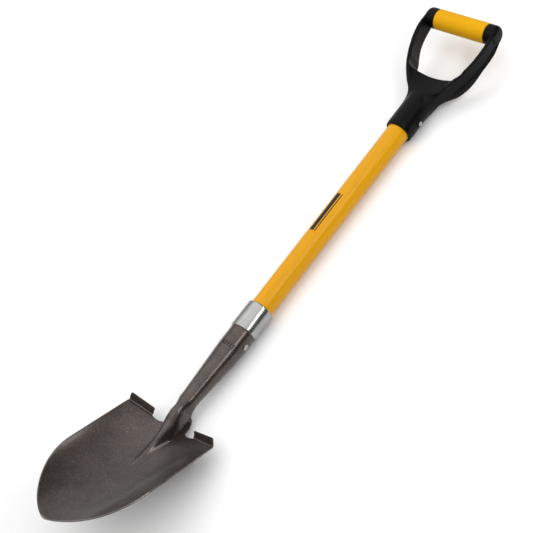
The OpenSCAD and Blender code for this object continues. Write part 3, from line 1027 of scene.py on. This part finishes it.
class SPADE_OT_head(bpy.types.Operator):
    """Digging head: one pressed sheet with a rolled socket, frog, dish and two turned steps"""
    bl_idname = "spade.head"
    bl_label = "Digging Head"

    def execute(self, context):
        settings = context.scene.spade_head
        sheet = settings.sheet * 1000
        socket_r = SHAFT_R + 0.12 + sheet
        verts, faces = sheet_shell(sheet_grid(socket_r), sheet)
        head = solid("digging_head", [at(*v) for v in verts], faces)
        for side in (1, -1):
            verts, faces = step_shell(sheet, settings.step_width * 1000, side)
            combine(head, solid("step", [at(*v) for v in verts], faces), "UNION")
            notch = prism("notch", notch_outline(), mirrored(at, side), -30, 30)
            combine(head, notch, "DIFFERENCE")
        combine(head, rivet_hole(HEAD_RIVET_Y), "DIFFERENCE")
        for arc in STROKE_ARCS:
            combine(head, stroke_cutter(arc), "DIFFERENCE")
        shade(head, 32)
        tag(head, "rub", rub_on_head)
        # marks the floor of the stamped strokes for painted shade
        tag(head, "stroke_shade", stamped)
        finish_piece(head, "head_coat", coat_material(settings), "head")
        return {"FINISHED"}


class SPADE_OT_ferrule(bpy.types.Operator):
    """Ferrule: a bright steel collar with a rolled top lip over the socket's end"""
    bl_idname = "spade.ferrule"
    bl_label = "Ferrule"

    def execute(self, context):
        settings = context.scene.spade_shaft
        r, lip, end = FERRULE_R, settings.lip * 1000, FERRULE_LEN
        inner = SHAFT_R + 0.05
        socket = SHAFT_R + 0.17 + 1.7
        profile = [(inner, -1.1), (inner + 0.15, -0.6), (inner + 0.5, -0.25)]
        profile += [(r - lip + lip * sin(radians(a)), -lip + lip * cos(radians(a)))
                    for a in range(0, 91, 6)]
        profile += [(r - 0.03, -6), (r, -14), (r, -end + 1.4), (r - 0.1, -end + 0.7),
                    (r - 0.35, -end + 0.25), (r - 0.7, -end), (socket, -end), (socket, -32.6),
                    (inner, -32.1)]
        ferrule = lathe("ferrule_collar", profile, along_y, 160, 40)
        finish_piece(ferrule, "ferrule_steel", steel_material(settings), "ferrule")
        return {"FINISHED"}


class SPADE_OT_shaft(bpy.types.Operator):
    """Shaft: the pultruded tube with a printed pair of bars"""
    bl_idname = "spade.shaft"
    bl_label = "Shaft"

    def execute(self, context):
        settings = context.scene.spade_shaft
        wall = 3.5
        core = SHAFT_R - wall
        low, top = SHAFT_LOW, SHAFT_TOP
        ys = sorted(set([low + 0.9] + spread(low + 2, top - 2, 90)
                        + spread(PRINT_LOW - 6, PRINT_HIGH + 6, 220) + [top - 0.8]))
        profile = [(core, low), (SHAFT_R - 0.6, low)] + [(SHAFT_R, y) for y in ys]
        profile += [(SHAFT_R - 0.8, top), (core, top)]
        shaft = lathe("shaft_pole", profile, along_y, 180, 40)
        for y in (HEAD_RIVET_Y, GRIP_RIVET_Y):
            combine(shaft, rivet_hole(y), "DIFFERENCE")
        shade(shaft, 40)
        tag(shaft, "print", printed_bars)
        finish_piece(shaft, "shaft_yellow", resin_material(settings), "shaft_tube")
        return {"FINISHED"}


class SPADE_OT_rivets(bpy.types.Operator):
    """Two cross rivets with low domed heads, and the wood plugs they pass through"""
    bl_idname = "spade.rivets"
    bl_label = "Rivets and Plugs"

    def execute(self, context):
        steel = (bpy.data.materials.get("bright drawn steel")
                 or steel_material(context.scene.spade_shaft))
        for name, cad, y, seat, head_r, rise in (
                ("socket_rivet", "head_rivet", HEAD_RIVET_Y, SHAFT_R + 1.82, 4.3, 1.5),
                ("handle_rivet", "grip_rivet", GRIP_RIVET_Y, 21.55, 3.7, 1.3)):
            half = [(2.4, seat), (head_r - 0.15, seat), (head_r, seat + rise * 0.2)]
            half += [(head_r * cos(radians(a)), seat + rise * (0.25 + 0.75 * sin(radians(a))))
                     for a in range(6, 91, 7)] + [(0.0, seat + rise)]
            whole = [(r, -t) for r, t in half[::-1]] + half
            rivet = lathe(name, whole, across_at(y), 64, 40)
            finish_piece(rivet, "rivet_steel", steel, cad)
        wood = wood_material()
        for plug in ("lower_plug", "upper_plug"):
            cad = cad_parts[plug]
            cad.data.materials.clear()
            cad.data.materials.append(wood)
        return {"FINISHED"}


class SPADE_OT_grip_frame(bpy.types.Operator):
    """Grip frame: moulded D with a round socket, webbed yoke, channelled arms and bar ends"""
    bl_idname = "spade.grip_frame"
    bl_label = "Grip Frame"

    def execute(self, context):
        settings = context.scene.spade_grip
        body = yoke_solid()
        for side in (1, -1):
            combine(body, arm_solid(side), "UNION")
        combine(body, prism("opening", opening_outline(), in_d, -45, 45), "DIFFERENCE")
        for side in (1, -1):
            combine(body, channel_cutter(side), "DIFFERENCE")
            combine(body, bar_end(side), "UNION")
        combine(body, socket_hub(), "UNION")
        combine(body, rivet_boss(), "UNION")
        mould_skin(body, settings.detail)
        combine(body, shaft_bore(), "DIFFERENCE")
        core = lathe("core", [(0, -48), (10.5, -48), (10.5, 48), (0, 48)], along_bar, 72)
        combine(body, core, "UNION")
        body.name = "grip_d_frame"
        shade(body, 50)
        tag(body, "rub", rub_on_grip)
        black = moulded_material("satin black moulding", settings.black, 0.36, 1.35, 0.25, 0.08)
        finish_piece(body, "grip_black", black, "grip_frame")
        return {"FINISHED"}


def rub_on_grip(x, y, z):
    """Closeness to the bar ends' outer corners and the socket's rim."""
    near_bar = clamp(1 - abs(hypot(y - BAR_Y, z - BAR_Z) - 13.5) / 3, 0, 1)
    near_bar *= clamp((abs(x) - 54) / 5, 0, 1)
    near_rim = clamp(1 - (y - SOCKET_Y) / 2.5, 0, 1)
    return max(near_bar, near_rim) * 0.8


class SPADE_OT_sleeve(bpy.types.Operator):
    """Sleeve: the soft yellow tube on the hand bar"""
    bl_idname = "spade.sleeve"
    bl_label = "Hand Bar Sleeve"

    def execute(self, context):
        settings = context.scene.spade_grip
        r, h = SLEEVE_R, SLEEVE_HALF
        profile = [(10.55, -h), (r - 1.0, -h), (r - 0.4, -h + 0.12), (r - 0.1, -h + 0.45),
                   (r, -h + 1)]
        profile += [(r, x) for x in spread(-h + 4, h - 4, 20)]
        profile += [(r, h - 1), (r - 0.1, h - 0.45), (r - 0.4, h - 0.12), (r - 1.0, h), (10.55, h)]
        sleeve = lathe("hand_sleeve", profile, along_bar, 128, 40)
        tag(sleeve, "rub", lambda x, y, z: clamp(1 - (h - abs(x)) / 1.5, 0, 1) * 0.6)
        yellow = moulded_material("soft yellow moulding", settings.sleeve, 0.5, 0.93, 0.3, 0.06)
        finish_piece(sleeve, "sleeve_yellow", yellow, "grip_sleeve")
        return {"FINISHED"}


# ---- stage ----

# Where the camera stands, and the directions of its right, its top and its back.
CAMERA_POINT = (993.1, -519.7, 1389.1)
CAMERA_RIGHT = (0.74951734, 0.58357279, -0.31251649)
CAMERA_UP = (-0.34554797, 0.7475675, 0.5672208)
CAMERA_BACK = (0.56464179, -0.31715238, 0.7619672)


def add_light(name, where, target, size, watts):
    data = bpy.data.lights.new(name, "AREA")
    data.shape = "RECTANGLE"
    data.size, data.size_y = size
    data.energy = watts
    obj = bpy.data.objects.new(name, data)
    bpy.context.scene.collection.objects.link(obj)
    obj.location = where
    obj.rotation_mode = "QUATERNION"
    obj.rotation_quaternion = (Vector(target) - Vector(where)).to_track_quat("-Z", "Y")


def sky_dome(tree):
    """Studio surround: a bright ceiling, a dim wall on one side and a dark one on the other."""
    coord = node(tree, "ShaderNodeTexCoord")
    split = node(tree, "ShaderNodeSeparateXYZ")
    link(tree, coord.outputs["Generated"], split.inputs[0])
    x, z = split.outputs["X"], split.outputs["Z"]
    height = calc(tree, "SUBTRACT", z, calc(tree, "MULTIPLY", x, 0.18))
    shades = node(tree, "ShaderNodeValToRGB")
    stops = ((0.0, 0.03), (0.40, 0.05), (0.58, 0.95), (0.9, 1.05))
    for k, (place, level) in enumerate(stops):
        stop = shades.color_ramp.elements[k] if k < 2 else shades.color_ramp.elements.new(place)
        stop.position = place
        stop.color = (level, level, level, 1)
    link(tree, height, shades.inputs["Fac"])
    left = calc(tree, "MAXIMUM", calc(tree, "MULTIPLY", x, -1.0), 0.0)
    glow = blend_colour(tree, calc(tree, "MULTIPLY", left, 0.3), (0, 0, 0), (1, 1, 1))
    total = blend_colour(tree, 1.0, shades.outputs["Color"], glow, "ADD")
    link(tree, total, tree.nodes["Background"].inputs["Color"])
    tree.nodes["Background"].inputs["Strength"].default_value = 1.0


class SPADE_OT_stage(bpy.types.Operator):
    """Stage: a plain pale floor, soft studio light and the camera"""
    bl_idname = "spade.stage"
    bl_label = "Stage"

    def execute(self, context):
        settings = context.scene.spade_stage
        scene = context.scene
        size, n = 60.0, 8
        line = [size * (i / n - 0.5) for i in range(n + 1)]
        faces = [(k, k + 1, k + n + 2, k + n + 1)
                 for k in range(n * (n + 1)) if k % (n + 1) < n]
        floor = new_object("floor", [(x, y, 0) for y in line for x in line], faces)
        mat, _, bsdf = surface("floor paint", 0.9)
        bsdf.inputs["Base Color"].default_value = (*settings.floor, 1)
        bsdf.inputs["Specular IOR Level"].default_value = 0.1
        floor.data.materials.append(mat)

        world = bpy.data.worlds.new("studio")
        scene.world = world
        world.use_nodes = True
        sky_dome(world.node_tree)
        add_light("overhead", (-0.35, 0.1, 1.7), (0, 0, 0), (2.4, 2.4), 10)
        add_light("far side", (-1.5, 1.5, 0.55), (0, -0.3, 0), (1.3, 0.8), 2)
        add_light("strip", (0.57, 0.2, 0.56), (0, -0.08, 0.03), (0.7, 0.03), 2.2)

        data = bpy.data.cameras.new("camera")
        data.sensor_width = 36
        data.lens = settings.focal
        data.clip_start, data.clip_end = 0.05, 50
        camera = bpy.data.objects.new("camera", data)
        scene.collection.objects.link(camera)
        turn = Matrix((CAMERA_RIGHT, CAMERA_UP, CAMERA_BACK)).transposed()
        camera.matrix_world = Matrix.Translation(at(*CAMERA_POINT)) @ turn.to_4x4()
        scene.camera = camera
        scene.view_settings.view_transform = "Standard"
        return {"FINISHED"}


class SPADE_PT_panel(bpy.types.Panel):
    """Builders for the spade's pieces"""
    bl_idname = "SPADE_PT_panel"
    bl_label = "Garden Spade"
    bl_space_type = "VIEW_3D"
    bl_region_type = "UI"
    bl_category = "Spade"

    def draw(self, context):
        for settings, _, operators in PANEL_ROWS:
            box = self.layout.box()
            data = getattr(context.scene, settings)
            for key in data.__annotations__:
                box.prop(data, key)
            for operator in operators:
                box.operator(operator)


PANEL_ROWS = (
    ("spade_head", SpadeHeadSettings, ("spade.head",)),
    ("spade_shaft", SpadeShaftSettings, ("spade.ferrule", "spade.shaft", "spade.rivets")),
    ("spade_grip", SpadeGripSettings, ("spade.grip_frame", "spade.sleeve")),
    ("spade_stage", SpadeStageSettings, ("spade.stage",)),
)
OPERATORS = (
    SPADE_OT_head, SPADE_OT_ferrule, SPADE_OT_shaft, SPADE_OT_rivets,
    SPADE_OT_grip_frame, SPADE_OT_sleeve, SPADE_OT_stage,
)


def register():
    for name, settings, _ in PANEL_ROWS:
        bpy.utils.register_class(settings)
        setattr(bpy.types.Scene, name, bpy.props.PointerProperty(type=settings))
    for operator in OPERATORS:
        bpy.utils.register_class(operator)
    bpy.utils.register_class(SPADE_PT_panel)


def unregister():
    bpy.utils.unregister_class(SPADE_PT_panel)
    for operator in reversed(OPERATORS):
        bpy.utils.unregister_class(operator)
    for name, settings, _ in reversed(PANEL_ROWS):
        delattr(bpy.types.Scene, name)
        bpy.utils.unregister_class(settings)


def main():
    register()
    for _, _, operators in PANEL_ROWS:
        for operator in operators:
            area, name = operator.split(".")
            getattr(getattr(bpy.ops, area), name)()


if __name__ == "__main__":
    main()
